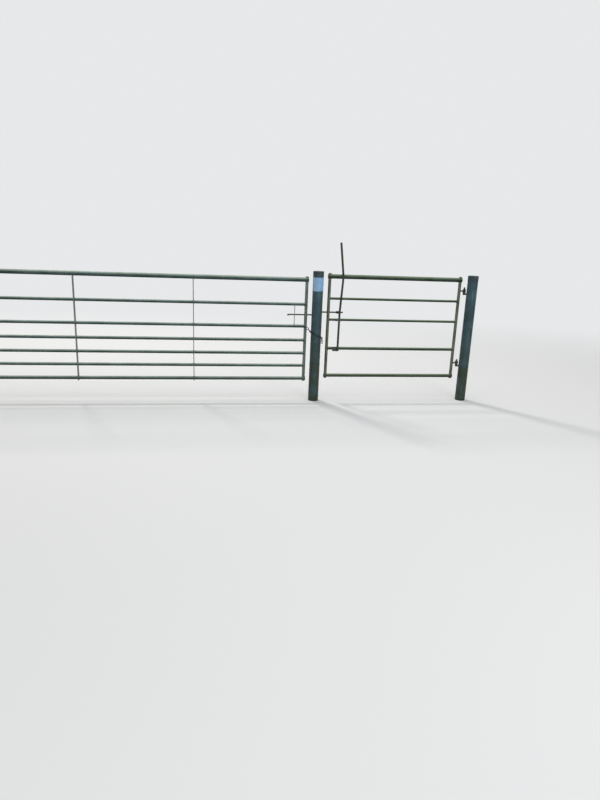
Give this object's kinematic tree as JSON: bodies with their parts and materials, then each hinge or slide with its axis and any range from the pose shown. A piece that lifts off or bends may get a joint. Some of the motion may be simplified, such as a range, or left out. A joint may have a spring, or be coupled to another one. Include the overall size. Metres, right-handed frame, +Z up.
{
  "type": "tubular steel field gate and bridle gate on a shared post",
  "caption": "Galvanised tubular gateway: a wide railed field gate and a narrow bridle gate with a tall latch lever, both closing on one shared round post",
  "frame": {"origin": "centre of the shared post's flat foot, at ground level", "axes": "+X along the closed gates from the field gate towards the bridle gate, +Y the way both gates open, +Z up"},
  "size_m": [5.7683, 0.1744, 1.741],
  "materials": {
    "galvanised_tube": "weathered galvanised tube, matt",
    "galvanised_post": "weathered galvanised post, blue-grey, matt",
    "dark_cap": "dark weathered steel cap",
    "pale_band": "pale wrapped band, slightly glossy",
    "zinc_ironwork": "dull zinc-coated iron, darkened"
  },
  "bodies": {
    "posts": {"bridle_bottom_hook": "zinc_ironwork", "bridle_hanging_post": "galvanised_post", "bridle_hanging_post_cap": "dark_cap", "bridle_top_hook": "zinc_ironwork", "centre_post": "galvanised_post", "centre_post_cap": "dark_cap", "chain_staple": "zinc_ironwork", "field_bolt_staple": "zinc_ironwork", "field_bottom_hook": "zinc_ironwork", "field_hanging_post": "galvanised_post", "field_hanging_post_cap": "dark_cap", "field_top_hook": "zinc_ironwork", "gate_chain": "zinc_ironwork", "latch_bolt_staple": "zinc_ironwork", "marker_band": "pale_band"},
    "field_gate": {"chain_stud": "zinc_ironwork", "field_bolt_strap": "galvanised_tube", "field_bottom_eye": "zinc_ironwork", "field_closing_stile": "galvanised_tube", "field_hanging_stile": "galvanised_tube", "field_rail_1": "galvanised_tube", "field_rail_2": "galvanised_tube", "field_rail_3": "galvanised_tube", "field_rail_4": "galvanised_tube", "field_rail_5": "galvanised_tube", "field_rail_6": "galvanised_tube", "field_rail_7": "galvanised_tube", "field_stay_1": "galvanised_tube", "field_stay_2": "galvanised_tube", "field_top_eye": "zinc_ironwork"},
    "bridle_gate": {"bridle_bottom_eye": "zinc_ironwork", "bridle_closing_stile": "galvanised_tube", "bridle_hanging_stile": "galvanised_tube", "bridle_rail_1": "galvanised_tube", "bridle_rail_2": "galvanised_tube", "bridle_rail_3": "galvanised_tube", "bridle_rail_4": "galvanised_tube", "bridle_rail_5": "galvanised_tube", "bridle_top_eye": "zinc_ironwork", "lever_guide": "galvanised_tube", "lever_pivot_bracket": "galvanised_tube"},
    "field_bolt": {"field_bolt": "zinc_ironwork"},
    "latch_lever": {"latch_lever": "galvanised_tube"},
    "latch_bolt": {"latch_bolt": "zinc_ironwork"}
  },
  "joints": [
    {"name": "field_gate_swing", "type": "hinge", "parent": "posts", "child": "field_gate", "pos_m": [-3.831, 0.07015, 0.31], "axis": [0, 0, 1], "range_deg": [0, 95]},
    {"name": "bridle_gate_swing", "type": "hinge", "parent": "posts", "child": "bridle_gate", "pos_m": [1.7, 0.07015, 0.428], "axis": [0, 0, -1], "range_deg": [0, 95]},
    {"name": "field_bolt_slide", "type": "slide", "parent": "field_gate", "child": "field_bolt", "axis": [1, 0, 0], "range_m": [-0.03, 0.026]},
    {"name": "latch_lever_pull", "type": "hinge", "parent": "bridle_gate", "child": "latch_lever", "pos_m": [0.26, 0.037, 0.59], "axis": [0, -1, 0], "range_deg": [0, 3.74]},
    {"name": "latch_bolt_slide", "type": "slide", "parent": "bridle_gate", "child": "latch_bolt", "axis": [-1, 0, 0], "range_m": [0, 0.026]}
  ],
  "couplings": [
    {"joint": "latch_bolt_slide", "follows": "latch_lever_pull", "m_per_rad": 0.398}
  ]
}
